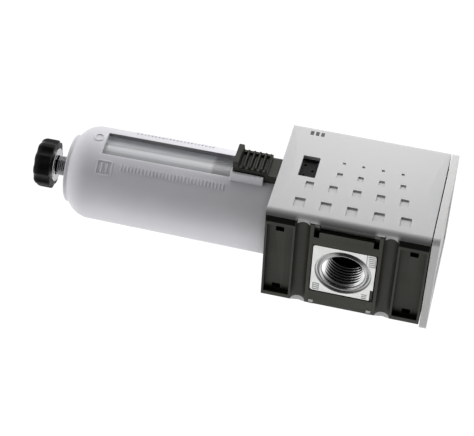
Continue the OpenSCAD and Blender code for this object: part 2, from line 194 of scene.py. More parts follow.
def metal(name, base, base2, rough, rough2, grain, depth, lines=None, line_depth=0.0, line_axis=None, dark=None, bore_shade=False):
    """Metal: base drift, cast grain, and turning lines about an axis where it was machined."""
    m, nt, b = new_mat(name)
    co = nt.nodes.new("ShaderNodeTexCoord").outputs["Object"]
    slow = noise(nt, co, 160.0, 4.0, 0.6)
    fine = noise(nt, co, grain, 3.0, 0.6)
    col = mix(nt, remap(nt, slow, 0.35, 0.65, 0.0, 1.0), base, base2)
    if dark:
        # painted shade: hollows, found by pointiness, go darker
        geo = nt.nodes.new("ShaderNodeNewGeometry")
        cav = remap(nt, geo.outputs["Pointiness"], 0.40, 0.495, 1.0, 0.0)
        col = mix(nt, cav, col, dark)
    if bore_shade:
        # painted shade: the machined bore and the groove are painted darker than the cast face
        sp = nt.nodes.new("ShaderNodeSeparateXYZ")
        nt.links.new(co, sp.inputs[0])
        yy = math2(nt, "MULTIPLY", sp.outputs["Y"], sp.outputs["Y"])
        zz = math2(nt, "MULTIPLY", sp.outputs["Z"], sp.outputs["Z"])
        rr = math2(nt, "SQRT", math2(nt, "ADD", yy, zz), 0.0)
        ax = math2(nt, "ABSOLUTE", sp.outputs["X"], 0.0)
        inner = math2(nt, "MULTIPLY", remap(nt, rr, 0.0104, 0.0107, 1.0, 0.0), remap(nt, ax, 0.0298, 0.0308, 1.0, 0.0))
        col = mix(nt, inner, col, (0.05, 0.05, 0.05))
        low = remap(nt, ax, 0.03100, 0.03130, 1.0, 0.0)
        groove = math2(nt, "MULTIPLY", low, remap(nt, rr, 0.0108, 0.0112, 0.0, 1.0))
        col = mix(nt, math2(nt, "MULTIPLY", groove, 0.3), col, (0.20, 0.205, 0.21))
    nt.links.new(col, b.inputs["Base Color"])
    b.inputs["Metallic"].default_value = 1.0
    nt.links.new(remap(nt, fine, 0.3, 0.7, rough, rough2), b.inputs["Roughness"])
    nrm = bump(nt, fine, 1.0, depth)
    if lines:
        sep = nt.nodes.new("ShaderNodeSeparateXYZ")
        nt.links.new(co, sep.inputs[0])
        ax = {"X": ("Y", "Z"), "Z": ("X", "Y")}[line_axis]
        u = sep.outputs[ax[0]]
        v = sep.outputs[ax[1]]
        if line_axis == "Z":
            v = math2(nt, "ADD", v, -BY * MM)
        rad = math2(nt, "SQRT", math2(nt, "ADD", math2(nt, "MULTIPLY", u, u), math2(nt, "MULTIPLY", v, v)), 0.0)
        if line_axis == "Z":
            rad = math2(nt, "ADD", rad, sep.outputs["Z"])
        w = math2(nt, "SINE", math2(nt, "MULTIPLY", rad, 2 * math.pi * lines), 0.0)
        nrm = bump(nt, w, 1.0, line_depth, nrm)
    nt.links.new(nrm, b.inputs["Normal"])
    return m


BLACK = plastic("black_moulded_polyamide", (0.0082, 0.0082, 0.0056), (0.0115, 0.0115, 0.0084), 0.44, 0.58, 5200.0, 0.000010, wear=(0.040, 0.040, 0.034), spec=0.27, tint=(1.0, 1.0, 0.90))
BLACK_BTN = plastic("black_grip_polyamide", (0.009, 0.009, 0.0066), (0.013, 0.013, 0.0100), 0.48, 0.62, 4200.0, 0.000016, wear=(0.040, 0.040, 0.035), spec=0.26, tint=(1.0, 1.0, 0.90))
BLACK_KNOB = plastic("black_knob_polyamide", (0.0045, 0.0045, 0.0040), (0.0065, 0.0065, 0.0058), 0.26, 0.36, 5200.0, 0.000006, wear=(0.022, 0.022, 0.021), spec=0.07)
BLACK_DEEP = plastic("black_inner_polyamide", (0.008, 0.008, 0.007), (0.012, 0.012, 0.011), 0.55, 0.65, 5200.0, 0.000010, spec=0.35)
COVER = plastic("grey_cover_satin", (0.425, 0.426, 0.431), (0.441, 0.442, 0.447), 0.40, 0.50, 4200.0, 0.0000045, wear=(0.49, 0.49, 0.50), blotch=45.0, spec=0.40, edge_shade=True)
COVER_TOP = plastic("grey_top_satin", (0.455, 0.457, 0.448), (0.470, 0.472, 0.463), 0.40, 0.50, 4200.0, 0.0000045, wear=(0.52, 0.52, 0.52), blotch=45.0, spec=0.40)
GUARD = plastic("grey_guard_satin", (0.625, 0.620, 0.655), (0.650, 0.645, 0.680), 0.36, 0.46, 4200.0, 0.0000045, wear=(0.70, 0.70, 0.73), blotch=50.0, spec=0.45)
# painted shadow: black for the frame laid round the port squares
SHADOW_FRAME_BLACK = plastic("joint_shadow_black", (0.0006, 0.0006, 0.0006), (0.001, 0.001, 0.001), 0.9, 1.0, 3000.0, 0.000004, spec=0.0)
# painted shade: black for the strip behind the cover edge
JOINT_BAND_SHADE = plastic("joint_band_painted_shade", (0.0016, 0.0016, 0.0013), (0.0024, 0.0024, 0.0019), 0.7, 0.8, 5200.0, 0.000008, spec=0.04)
# painted shade: a darker black for the window insert down in its recess
WINDOW_SHADE = plastic("window_black_painted_shade", (0.0028, 0.0028, 0.0025), (0.0042, 0.0042, 0.0038), 0.55, 0.65, 5200.0, 0.000010, spec=0.12)
# painted shade: a darker copy of the cover grey for the tongues and pegs behind the face edge
COVER_SHADED = plastic("grey_cover_painted_shade", (0.055, 0.055, 0.053), (0.070, 0.070, 0.067), 0.5, 0.6, 4200.0, 0.0000045, spec=0.25)
# painted shade: a darker copy of the guard grey for one side wall of the sight slot
GUARD_SLOT_SHADE = plastic("grey_guard_slot_wall_painted_shade", (0.235, 0.233, 0.240), (0.25, 0.248, 0.256), 0.5, 0.6, 4200.0, 0.0000045, spec=0.25)
RUBBER = plastic("nitrile_rubber", (0.012, 0.012, 0.012), (0.020, 0.020, 0.019), 0.55, 0.75, 3000.0, 0.000015, spec=0.4)
INK = plastic("printing_ink", (0.010, 0.010, 0.012), (0.05, 0.05, 0.055), 0.45, 0.55, 6000.0, 0.000004, spec=0.4)
ELEMENT = plastic("sintered_polyethylene", (0.66, 0.65, 0.60), (0.74, 0.73, 0.68), 0.8, 0.95, 1500.0, 0.00012, spec=0.2)
ZINC = metal("cast_zinc_plated", (0.455, 0.46, 0.45), (0.40, 0.405, 0.395), 0.22, 0.38, 1900.0, 0.000018, dark=(0.20, 0.21, 0.21))
ZINC_PORT = metal("cast_zinc_port", (0.455, 0.46, 0.45), (0.40, 0.405, 0.395), 0.22, 0.38, 1900.0, 0.000018, dark=(0.20, 0.21, 0.21), bore_shade=True)
ZINC_TURNED = metal("turned_zinc_thread", (0.70, 0.705, 0.70), (0.62, 0.63, 0.63), 0.07, 0.12, 2600.0, 0.000004, lines=4200.0, line_depth=0.000002, line_axis="X")
STEEL = metal("bright_steel", (0.72, 0.72, 0.71), (0.62, 0.62, 0.61), 0.18, 0.30, 2600.0, 0.000006)
MIRROR = metal("bright_nickel_insert", (0.74, 0.74, 0.75), (0.68, 0.68, 0.69), 0.07, 0.12, 2600.0, 0.000001)
# painted shade: a darker copy of the flange metal for the cast marks
ZINC_MARK_SHADE = metal("cast_zinc_marks_painted_shade", (0.20, 0.205, 0.21), (0.26, 0.265, 0.27), 0.35, 0.5, 1900.0, 0.000010)
STEM = metal("plated_stem_thread", (0.36, 0.36, 0.37), (0.31, 0.31, 0.32), 0.10, 0.16, 2600.0, 0.000003)
NICKEL = metal("nickel_plated_brass", (0.78, 0.78, 0.77), (0.70, 0.70, 0.69), 0.12, 0.22, 2600.0, 0.000005, lines=3600.0, line_depth=0.000003, line_axis="Z")


def clear_plastic():
    m, nt, b = new_mat("clear_polycarbonate")
    co = nt.nodes.new("ShaderNodeTexCoord").outputs["Object"]
    slow = noise(nt, co, 70.0, 2.0)
    fine = noise(nt, co, 900.0, 4.0, 0.6)
    col = mix(nt, remap(nt, slow, 0.35, 0.65, 0.0, 1.0), (0.90, 0.915, 0.925), (0.94, 0.95, 0.955))
    # painted shade and highlight: bands along the bowl's length, darker and lighter across x, and painted shade in a
    # darker zone behind the baffle
    sp = nt.nodes.new("ShaderNodeSeparateXYZ")
    nt.links.new(co, sp.inputs[0])
    xx = math2(nt, "ADD", sp.outputs["X"], math2(nt, "MULTIPLY", math2(nt, "ADD", sp.outputs["Z"], 0.095), 0.010))
    ramp = nt.nodes.new("ShaderNodeValToRGB")
    stops = [(-8, 1.0), (-4, 1.0), (-2.9, 1.0), (-2.3, 0.86), (-1.3, 0.60), (-0.7, 0.60), (-0.45, 0.90), (1.2, 0.93), (1.6, 0.82), (2.9, 0.76), (3.3, 0.60), (5.5, 0.50), (8, 0.8)]
    el = ramp.color_ramp.elements
    while len(el) > 1:
        el.remove(el[-1])
    for i, (x, v) in enumerate(stops):
        e = el[0] if i == 0 else el.new((x + 8) / 16)
        e.position = (x + 8) / 16
        e.color = (v, v, v * 1.01, 1)
    nt.links.new(remap(nt, xx, -0.008, 0.008, 0.0, 1.0), ramp.inputs["Fac"])
    mu = nt.nodes.new("ShaderNodeMix")
    mu.data_type = "RGBA"
    mu.blend_type = "MULTIPLY"
    mu.inputs[0].default_value = 1.0
    nt.links.new(col, mu.inputs[6])
    nt.links.new(ramp.outputs["Color"], mu.inputs[7])
    near = remap(nt, sp.outputs["Z"], -0.0722, -0.0705, 0.0, 0.55)
    col = mix(nt, near, mu.outputs[2], (0.12, 0.12, 0.12))
    nt.links.new(col, b.inputs["Base Color"])
    b.inputs["Transmission Weight"].default_value = 0.62
    # painted light: a faint glow in the bowl's colour, for light from inside the bowl
    b.inputs["Emission Color"].default_value = (0.95, 0.97, 1.0, 1)
    b.inputs["Emission Strength"].default_value = 0.03
    b.inputs["IOR"].default_value = 1.585
    nt.links.new(remap(nt, fine, 0.4, 0.75, 0.015, 0.07), b.inputs["Roughness"])
    nt.links.new(bump(nt, slow, 1.0, 0.00002), b.inputs["Normal"])
    return m


CLEAR = clear_plastic()


# ---------------------------------------------------------------- mesh helpers
def finish_mesh(o, mat, sharp=38.0):
    me = o.data
    me.materials.clear()
    me.materials.append(mat)
    for p in me.polygons:
        p.use_smooth = True
    me.set_sharp_from_angle(angle=math.radians(sharp))
    return o


def link(name, me):
    o = bpy.data.objects.new(name, me)
    scene.collection.objects.link(o)
    return o


def apply_mods(o):
    bpy.context.view_layer.update()
    dg = bpy.context.evaluated_depsgraph_get()
    me = bpy.data.meshes.new_from_object(o.evaluated_get(dg), preserve_all_data_layers=True, depsgraph=dg)
    o.modifiers.clear()
    old = o.data
    o.data = me
    if old.users == 0:
        bpy.data.meshes.remove(old)
    return o


def soften(o, width_mm, seg=2, angle=35.0):
    """Rounds every sharp edge and lets the flats keep their normals."""
    b = o.modifiers.new("bevel", "BEVEL")
    b.width = width_mm * MM
    b.segments = seg
    b.limit_method = "ANGLE"
    b.angle_limit = math.radians(angle)
    b.use_clamp_overlap = True
    b.miter_outer = "MITER_ARC"
    b.harden_normals = False
    return apply_mods(o)


def weighted(o):
    w = o.modifiers.new("wn", "WEIGHTED_NORMAL")
    w.weight = 92
    w.keep_sharp = True
    return apply_mods(o)


def clean(bm, deg=0.5):
    bmesh.ops.remove_doubles(bm, verts=bm.verts, dist=2e-6)
    bmesh.ops.dissolve_limit(bm, angle_limit=math.radians(deg), use_dissolve_boundaries=False, verts=bm.verts, edges=bm.edges)
    bmesh.ops.recalc_face_normals(bm, faces=bm.faces)


def from_cad(node_name, mat, width=0.2, seg=2, angle=35.0, name=None, sharp=38.0):
    """A refined copy of a CAD part: flats merged, edges rounded, in place of the node."""
    me = NODES[node_name].data.copy()
    bm = bmesh.new()
    bm.from_mesh(me)
    clean(bm)
    bm.to_mesh(me)
    bm.free()
    o = link(name or node_name + "_body", me)
    if width > 0:
        soften(o, width, seg, angle)
    finish_mesh(o, mat, sharp)
    weighted(o)
    place(o, node_name)
    return o


def place(o, node_name, replaces=True):
    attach(o, NODES[node_name]["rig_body"])
    if replaces:
        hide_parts(node_name)
    return o


def mesh_obj(name, verts, faces, mat, sharp=38.0):
    """verts in mm."""
    me = bpy.data.meshes.new(name)
    me.from_pydata([tuple(c * MM for c in v) for v in verts], [], [tuple(f) for f in faces])
    bm = bmesh.new()
    bm.from_mesh(me)
    bmesh.ops.remove_doubles(bm, verts=bm.verts, dist=5e-7)
    bmesh.ops.recalc_face_normals(bm, faces=bm.faces)
    bm.to_mesh(me)
    bm.free()
    return finish_mesh(link(name, me), mat, sharp)


class Builder:
    """Collects closed shells, in mm, into one mesh."""

    def __init__(self):
        self.v, self.f = [], []

    def add(self, verts, faces):
        n = len(self.v)
        self.v += [tuple(map(float, p)) for p in verts]
        self.f += [tuple(i + n for i in q) for q in faces]

    def lathe(self, prof, seg=96, centre=(0.0, 0.0), axis="Z", closed=True):
        """Revolves a profile of (r, h). closed joins its last point to the first."""
        m = len(prof)
        vs = []
        for k in range(seg):
            a = 2 * math.pi * k / seg
            for r, h in prof:
                p, q = r * math.cos(a), r * math.sin(a)
                vs.append((centre[0] + p, centre[1] + q, h) if axis == "Z" else (h, centre[0] + p, centre[1] + q))
        fs = []
        for k in range(seg):
            k2 = (k + 1) % seg
            for j in range(m if closed else m - 1):
                j2 = (j + 1) % m
                fs.append((k * m + j, k2 * m + j, k2 * m + j2, k * m + j2))
        self.add(vs, fs)

    def box(self, lo, hi, bevel=0.0, turn=None):
        """Box with chamfered edges: made as an 8-corner box cut back on all edges."""
        (x0, y0, z0), (x1, y1, z1) = lo, hi
        b = min(bevel, (x1 - x0) / 2.01, (y1 - y0) / 2.01, (z1 - z0) / 2.01)
        bm = bmesh.new()
        bmesh.ops.create_cube(bm, size=1.0)
        for v in bm.verts:
            v.co = Vector(((x0 + x1) / 2 + v.co.x * (x1 - x0), (y0 + y1) / 2 + v.co.y * (y1 - y0), (z0 + z1) / 2 + v.co.z * (z1 - z0)))
        if b > 0:
            bmesh.ops.bevel(bm, geom=list(bm.edges), offset=b, segments=2, profile=0.5, affect="EDGES")
        if turn is not None:
            for v in bm.verts:
                v.co = turn @ v.co
        bm.verts.index_update()
        self.add([tuple(v.co) for v in bm.verts], [[v.index for v in f.verts] for f in bm.faces])
        bm.free()

    def obj(self, name, mat, sharp=38.0):
        return mesh_obj(name, self.v, self.f, mat, sharp)


def helix_ridge(b, centre, axis, r_root, r_crest, half_root, half_crest, h0, h1, pitch, seg=48, fade=0.5, hand=1):
    """One thread: a rounded ridge that winds from h0 to h1. half_crest is the exponent of its roundness."""
    turns = (h1 - h0) / pitch
    n = int(turns * seg)
    S = 9
    ring = []
    for i in range(n + 1):
        t = i / n
        a = hand * 2 * math.pi * turns * t
        h = h0 + (h1 - h0) * t
        e = min(1.0, turns * t / fade, turns * (1 - t) / fade)
        e = max(0.02, e)
        rc = r_root + (r_crest - r_root) * e
        sec = []
        for j in range(S):
            u = j / (S - 1)
            bulge = 0.5 - 0.5 * math.cos(2 * math.pi * u)
            sec.append((r_root + (rc - r_root) * bulge ** half_crest, half_root * (2 * u - 1)))
        for r, dh in sec:
            p, q = r * math.cos(a), r * math.sin(a)
            ring.append((centre[0] + p, centre[1] + q, h + dh) if axis == "Z" else (h + dh, centre[0] + p, centre[1] + q))
    fs = []
    for i in range(n):
        for j in range(S):
            j2 = (j + 1) % S
            fs.append((i * S + j, (i + 1) * S + j, (i + 1) * S + j2, i * S + j2))
    fs.append(tuple(reversed(range(S))))
    fs.append(tuple(n * S + j for j in range(S)))
    b.add(ring, fs)


def spring_obj(name, centre, r, wire, z0, z1, turns, mat, seg=28, m=12):
    """Compression spring with closed, ground-looking end turns."""
    pts = []
    n = int(turns * seg)
    za, zb = z0 + wire, z1 - wire
    for i in range(n + 1):
        t = i / n
        dead = 1.0 / turns
        if t < dead:
            h = za + 2.05 * wire * (t / dead)
        elif t > 1 - dead:
            h = zb - 2.05 * wire * ((1 - t) / dead)
        else:
            h = za + 2.05 * wire + (zb - za - 4.1 * wire) * (t - dead) / (1 - 2 * dead)
        a = 2 * math.pi * turns * t
        pts.append((a, h))
    vs, fs = [], []
    for a, h in pts:
        for j in range(m):
            c = 2 * math.pi * j / m
            rr = r + wire * math.cos(c)
            vs.append((centre[0] + rr * math.cos(a), centre[1] + rr * math.sin(a), h + wire * math.sin(c)))
    for i in range(n):
        for j in range(m):
            j2 = (j + 1) % m
            fs.append((i * m + j, (i + 1) * m + j, (i + 1) * m + j2, i * m + j2))
    fs.append(tuple(range(m)))
    fs.append(tuple(n * m + j for j in reversed(range(m))))
    return mesh_obj(name, vs, fs, mat, 60.0)


def boolean(o, cutter, op="DIFFERENCE"):
    b = o.modifiers.new("cut", "BOOLEAN")
    b.operation = op
    b.solver = "EXACT"
    b.object = cutter
    b.use_self = False
    apply_mods(o)
    me = cutter.data
    bpy.data.objects.remove(cutter)
    bpy.data.meshes.remove(me)
    return o


# ---------------------------------------------------------------- front cover
HW, HH, FY, ER = 31.5, 38.6, -31.9, 3.0


def arc_z(x):
    """Edge of the shallow end facet, as a height above the port axis."""
    return min(32.7 + 5.5 * (x / 29.3) ** 2, 38.3)


def cover_columns():
    """Section of the shell from one skirt over the face to the other: (x, y, nx, ny)."""
    cols = [(-HW, -28.8, -1, 0), (-HW, -28.85, -1, 0)]
    for i in range(13):
        a = math.radians(180 + 90 * i / 12)
        cols.append((-HW + ER + ER * math.cos(a), FY + ER + ER * math.sin(a), math.cos(a), math.sin(a)))
    for i in range(1, 56):
        cols.append((-HW + ER + (2 * HW - 2 * ER) * i / 56, FY, 0, -1))
    for i in range(13):
        a = math.radians(270 + 90 * i / 12)
        cols.append((HW - ER + ER * math.cos(a), FY + ER + ER * math.sin(a), math.cos(a), math.sin(a)))
    cols += [(HW, -28.85, 1, 0), (HW, -28.8, 1, 0)]
    return cols


def make_front_cover():
    cols = cover_columns()
    t = 2.0
    nz_mid, nz_end = 34, 7
    rows_n = 2 * nz_end + nz_mid + 1 + 2
    vs, fs = [], []
    lines = []
    for x, y, nx, ny in cols:
        za = arc_z(x)
        zs = [-HH, -HH + 0.12] + [-HH + 0.12 + (HH - 0.12 - za) * i / nz_end for i in range(1, nz_end + 1)]
        zs += [-za + 2 * za * i / nz_mid for i in range(1, nz_mid + 1)]
        zs += [za + (HH - 0.12 - za) * i / nz_end for i in range(1, nz_end + 1)] + [HH]
        line = []
        for z in zs:
            drop = max(0.0, abs(z) - za) * 0.115
            if abs(z) > HH - 0.06:
                drop += 0.12
            # the drop fades out over the long rounded edges
            k = max(0.0, -ny) ** 1.5
            line.append((x, y + drop * k, z))
        lines.append(line)
    m = len(lines[0])
    n = len(lines)
    for line in lines:
        vs += line
    # inner surface, a simple offset
    for (x, y, nx, ny), line in zip(cols, lines):
        for (_, _, z) in line:
            zi = max(-HH, min(HH, z))
            vs.append((x - nx * t, (y - ny * t) if ny else y, zi))
    N = n * m
    for i in range(n - 1):
        for j in range(m - 1):
            a, b, c, d = i * m + j, (i + 1) * m + j, (i + 1) * m + j + 1, i * m + j + 1
            fs.append((a, b, c, d))
            fs.append((N + d, N + c, N + b, N + a))
    for i in range(n - 1):
        fs.append((i * m, N + i * m, N + (i + 1) * m, (i + 1) * m))
        fs.append((i * m + m - 1, (i + 1) * m + m - 1, N + (i + 1) * m + m - 1, N + i * m + m - 1))
    for j in range(m - 1):
        fs.append((j, j + 1, N + j + 1, N + j))
        fs.append(((n - 1) * m + j, N + (n - 1) * m + j, N + (n - 1) * m + j + 1, (n - 1) * m + j + 1))
    o = mesh_obj("front_cover_shell", vs, fs, COVER, 7.0)

    # recesses: rounded, slightly tapered pockets, the window and the four clamp saddles
    cut = Builder()

    def pocket(xc, zc, sx, sz, depth, r, taper=0.12, out=1.0):
        """Rounded-rectangle plug from in front of the face to depth behind it."""
        ring = []
        for cx, cz, a0 in ((1, 1, 0), (-1, 1, 90), (-1, -1, 180), (1, -1, 270)):
            for i in range(5):
                a = math.radians(a0 + 90 * i / 4)
                ring.append((cx * (sx / 2 - r) + r * math.cos(a), cz * (sz / 2 - r) + r * math.sin(a)))
        L = len(ring)
        v = []
        for y, k, rr in ((FY - out, 1.0, 0), (FY, 1.0, 0), (FY + depth - 0.12, 1 - taper / max(sx, sz) * 2, 0), (FY + depth, 1 - (taper + 0.16) / max(sx, sz) * 2, 0)):
            for px, pz in ring:
                v.append((xc + px * k, y, zc + pz * k))
        f = []
        for s in range(3):
            for i in range(L):
                i2 = (i + 1) % L
                f.append((s * L + i, s * L + i2, (s + 1) * L + i2, (s + 1) * L + i))
        f.append(tuple(range(L)))
        f.append(tuple(3 * L + i for i in reversed(range(L))))
        cut.add(v, f)

    for xc, zs, sx, sz, dp in ((-8.9, (-9.6, -0.3, 9.2, 18.7), 1.5, 1.6, 0.6), (-0.3, (-10.2, -0.2, 9.9, 20.1), 3.4, 2.8, 0.75),
                               (10.0, (-22.7, -11.4, -0.1, 11.2, 22.5), 4.9, 4.1, 0.85), (22.5, (-24.8, -12.5, -0.1, 12.6, 25.2), 6.2, 5.2, 0.9)):
        for z in zs:
            pocket(xc, z, sx, sz, dp, min(0.45, sx * 0.3))
    pocket(-2.5, -25.35, 14.4, 8.3, 3.4, 0.5, taper=0.05)
    for sx in (-1, 1):
        for sz in (-1, 1):
            seg = 64
            prof = [(3.3, -26.0), (3.3, -29.3), (3.05, -29.65), (2.3, -29.95), (1.0, -30.1)]
            v, f = [], []
            for r, y in prof:
                for i in range(seg):
                    a = 2 * math.pi * i / seg
                    v.append((sx * 31.8 + r * math.cos(a), y, sz * 20.7 + r * math.sin(a)))
            for j in range(len(prof) - 1):
                for i in range(seg):
                    i2 = (i + 1) % seg
                    f.append((j * seg + i, j * seg + i2, (j + 1) * seg + i2, (j + 1) * seg + i))
            f.append(tuple(reversed(range(seg))))
            f.append(tuple((len(prof) - 1) * seg + i for i in range(seg)))
            cut.add(v, f)
    c = cut.obj("cutters", COVER)
    boolean(o, c)
    bm = bmesh.new()
    bm.from_mesh(o.data)
    bmesh.ops.remove_doubles(bm, verts=bm.verts, dist=1e-6)
    bm.to_mesh(o.data)
    bm.free()
    finish_mesh(o, COVER, 24.0)
    # mark the facet crease as sharp, though its angle is small
    me = o.data
    co = np.array([v.co for v in me.vertices]) * 1000
    crease = [False] * len(me.vertices)
    for i, (x, y, z) in enumerate(co):
        if abs(abs(z) - arc_z(x)) < 0.02 and abs(x) < 28.6 and y < FY + 0.3:
            crease[i] = True
    at = me.attributes.get("sharp_edge") or me.attributes.new("sharp_edge", "BOOLEAN", "EDGE")
    vals = [False] * len(me.edges)
    at.data.foreach_get("value", vals)
    for e in me.edges:
        if crease[e.vertices[0]] and crease[e.vertices[1]]:
            vals[e.index] = True
    at.data.foreach_set("value", vals)
    weighted(o)
    place(o, "front_cover")

    # tongues and pegs behind the face, as in the CAD part, in a darker copy of the cover grey: painted shade
    b = Builder()
    for s in (-1, 1):
        sec = [(29.5, -30.1), (31.0, -29.3), (29.35, -24.3), (29.15, -24.1), (27.85, -24.1), (27.7, -24.3)]
        v = [(s * x, y, z) for z in (-12.6, 12.6) for x, y in sec]
        L = len(sec)
        f = [tuple(range(L)), tuple(range(2 * L - 1, L - 1, -1))] + [(i, (i + 1) % L, L + (i + 1) % L, L + i) for i in range(L)]
        b.add(v, f)
        for z0 in (-16.5, 12.8):
            b.box((min(s * 30.4, s * 31.2), -29.2, z0), (max(s * 30.4, s * 31.2), -26.4, z0 + 3.7), 0.15)
    t_obj = b.obj("front_cover_snap_tongues", COVER_SHADED)
    place(t_obj, "front_cover", replaces=False)
    b = Builder()
    # thin half-round liners of the clamp channels, behind the front edge
    for sx in (-1, 1):
        for sz in (-1, 1):
            v, f, n = [], [], 24
            for y in (-29.4, -25.7):
                for r in (3.28, 3.58):
                    for i in range(n + 1):
                        a = math.radians(180 - 58 + 116 * i / n) if sx > 0 else math.radians(-58 + 116 * i / n)
                        v.append((sx * 31.8 + r * math.cos(a), y, sz * 20.7 + r * math.sin(a)))
            m = n + 1
            for i in range(n):
                f.append((i, i + 1, 2 * m + i + 1, 2 * m + i))
                f.append((m + i, 3 * m + i, 3 * m + i + 1, m + i + 1))
                f.append((i, m + i, m + i + 1, i + 1))
                f.append((2 * m + i, 2 * m + i + 1, 3 * m + i + 1, 3 * m + i))
            f.append((0, 2 * m, 3 * m, m))
            f.append((n, m + n, 3 * m + n, 2 * m + n))
            b.add(v, f)
    for i in (-1, 1):
        for j in (-1, 1):
            b.lathe([(0.0, -30.4), (2.4, -30.4), (2.4, -24.9), (2.2, -24.65), (0.0, -24.65)], 32, (0, 0), "Z", False)
            vs2 = b.v[-32 * 5:]
            b.v[-32 * 5:] = [(i * 20 + p[0], p[2], j * 30 + 2 + p[1]) for p in vs2]
    b.box((-26, -30.4, HH - 2), (26, -28.5, HH), 0.2)
    t_obj = b.obj("front_cover_tongues", COVER)
    place(t_obj, "front_cover", replaces=False)

    # generic printed mark: three plain bars
    b = Builder()
    for z0 in (-29.6, -27.0, -24.4):
        b.box((-27.7, FY - 0.02, z0), (-24.9, FY + 0.05, z0 + 1.7), 0.03)
    mk = b.obj("print_mark", INK)
    place(mk, "front_cover", replaces=False)


make_front_cover()


# ---------------------------------------------------------------- bowl guard
def make_guard():
    zs_slot = list(np.linspace(-61.5, -125.0, 15))

    def r_out(z):
        return 23.5 - (23.5 - 22.85) * (-39.5 - z) / (130.0 - 39.5)

    outer = [(20.2, -31.65), (20.5, -31.62), (21.7, -31.62), (21.9, -31.85), (21.9, -38.6), (22.1, -38.9), (22.95, -38.9), (23.3, -39.05), (23.5, -39.5)]
    outer += [(r_out(z), z) for z in np.linspace(-43, -58, 4)]
    k0 = len(outer)
    outer += [(r_out(z), z) for z in zs_slot]
    outer += [(r_out(-127.5), -127.5)]
    for i in range(0, 17):
        a = math.radians(-62 * i / 16)
        outer.append((10.85 + 12 * math.cos(a), -130.0 + 12 * math.sin(a)))
    outer += [(16.7, -142.2), (16.45, -142.45), (16.15, -142.52), (15.8, -142.52), (15.5, -142.42), (15.25, -142.15), (15.05, -142.0), (5.9, -142.0), (5.6, -141.7)]
    inner = [(5.6, -140.2), (5.8, -140.0), (10.85, -140.0)]
    for i in range(1, 13):
        a = math.radians(-90 + 90 * i / 12)
        inner.append((10.85 + 9.8 * math.cos(a), -130.0 + 9.8 * math.sin(a)))
    inner += [(20.65, -127.5)]
    k1 = len(inner)
    inner += [(20.65, z) for z in reversed(zs_slot)]
    inner += [(20.65, -58.0), (20.65, -44.0), (20.0, -41.0)]
    P = outer + inner
    m = len(P)
    so = list(range(k0, k0 + 15))
    si = [len(outer) + k1 + 14 - i for i in range(15)]     # inner rows matching so
    N, S = 168, 14

    def halves(r):
        # angles of the slot sides at x = -6.1 and x = 8.1 mm
        r = max(r, 12.0)
        return math.asin(6.1 / r), math.asin(8.1 / r)

    vs = []
    grid = {}
    for j, (r, z) in enumerate(P):
        hl, hr = halves(r)
        for k in range(N + 1):
            a = -math.pi / 2 + hr + (2 * math.pi - hl - hr) * k / N
            grid[(j, k)] = len(vs)
            vs.append((BX + r * math.cos(a), BY + r * math.sin(a), z))
        for k in range(1, S):
            a = -math.pi / 2 - hl + (hl + hr) * k / S
            grid[(j, N + k)] = len(vs)
            vs.append((BX + r * math.cos(a), BY + r * math.sin(a), z))
        grid[(j, N + S)] = grid[(j, 0)]
    fs = []
    for j in range(m):
        j2 = (j + 1) % m
        for k in range(N + S):
            in_slot_col = k >= N
            if in_slot_col:
                if (j in so and j2 in so) or (j in si and j2 in si):
                    continue
            fs.append((grid[(j, k)], grid[(j2, k)], grid[(j2, k + 1)], grid[(j, k + 1)]))
    for a, b in zip(so[:-1], so[1:]):
        ia, ib = si[so.index(a)], si[so.index(b)]
        fs.append((grid[(a, N)], grid[(b, N)], grid[(ib, N)], grid[(ia, N)]))
        fs.append((grid[(a, 0)], grid[(ia, 0)], grid[(ib, 0)], grid[(b, 0)]))
    for a, flip in ((so[0], False), (so[-1], True)):
        ia = si[so.index(a)]
        for k in range(N, N + S):
            q = (grid[(a, k)], grid[(ia, k)], grid[(ia, k + 1)], grid[(a, k + 1)])
            fs.append(q if not flip else tuple(reversed(q)))
    o = mesh_obj("guard_shell", vs, fs, GUARD, 30.0)
    soften(o, 0.3, 2, 50.0)
    finish_mesh(o, GUARD, 32.0)
    # painted shade: one side wall of the sight slot gets the darker copy of the guard grey
    o.data.materials.append(GUARD_SLOT_SHADE)
    for p in o.data.polygons:
        c = p.center * 1000
        if abs(c.x + 6.1) < 0.16 and p.normal.x > 0.8 and c.y < -20 and -125.2 < c.z < -61.3:
            p.material_index = 1
    place(o, "bowl_guard")

    b = Builder()
    # bayonet lugs
    for a0 in (90, 210, 330):
        prof = [(21.0, -35.8), (23.6, -35.8), (23.85, -35.55), (23.85, -32.45), (23.6, -32.2), (21.0, -32.2)]
        n = 14
        v, f = [], []
        for k in range(n + 1):
            a = math.radians(a0 - 15 + 30 * k / n)
            for r, z in prof:
                v.append((BX + r * math.cos(a), BY + r * math.sin(a), z))
        L = len(prof)
        for k in range(n):
            for j in range(L):
                j2 = (j + 1) % L
                f.append((k * L + j, (k + 1) * L + j, (k + 1) * L + j2, k * L + j2))
        f.append(tuple(reversed(range(L))))
        f.append(tuple(n * L + j for j in range(L)))
        b.add(v, f)
    # rails beside the lock button, and the post for its spring
    for s in (-1, 1):
        x0, x1 = (8.2, 9.9) if s > 0 else (-7.9, -6.2)
        b.box((x0, -29.8, -61.0), (x1, -24.5, -45.0), 0.28)
    b.box((-0.6, -30.0, -57.9), (2.6, -25.5, -56.35), 0.2)
    r_obj = b.obj("guard_rails_and_lugs", GUARD, 40.0)
    weighted(r_obj)
    place(r_obj, "bowl_guard", replaces=False)

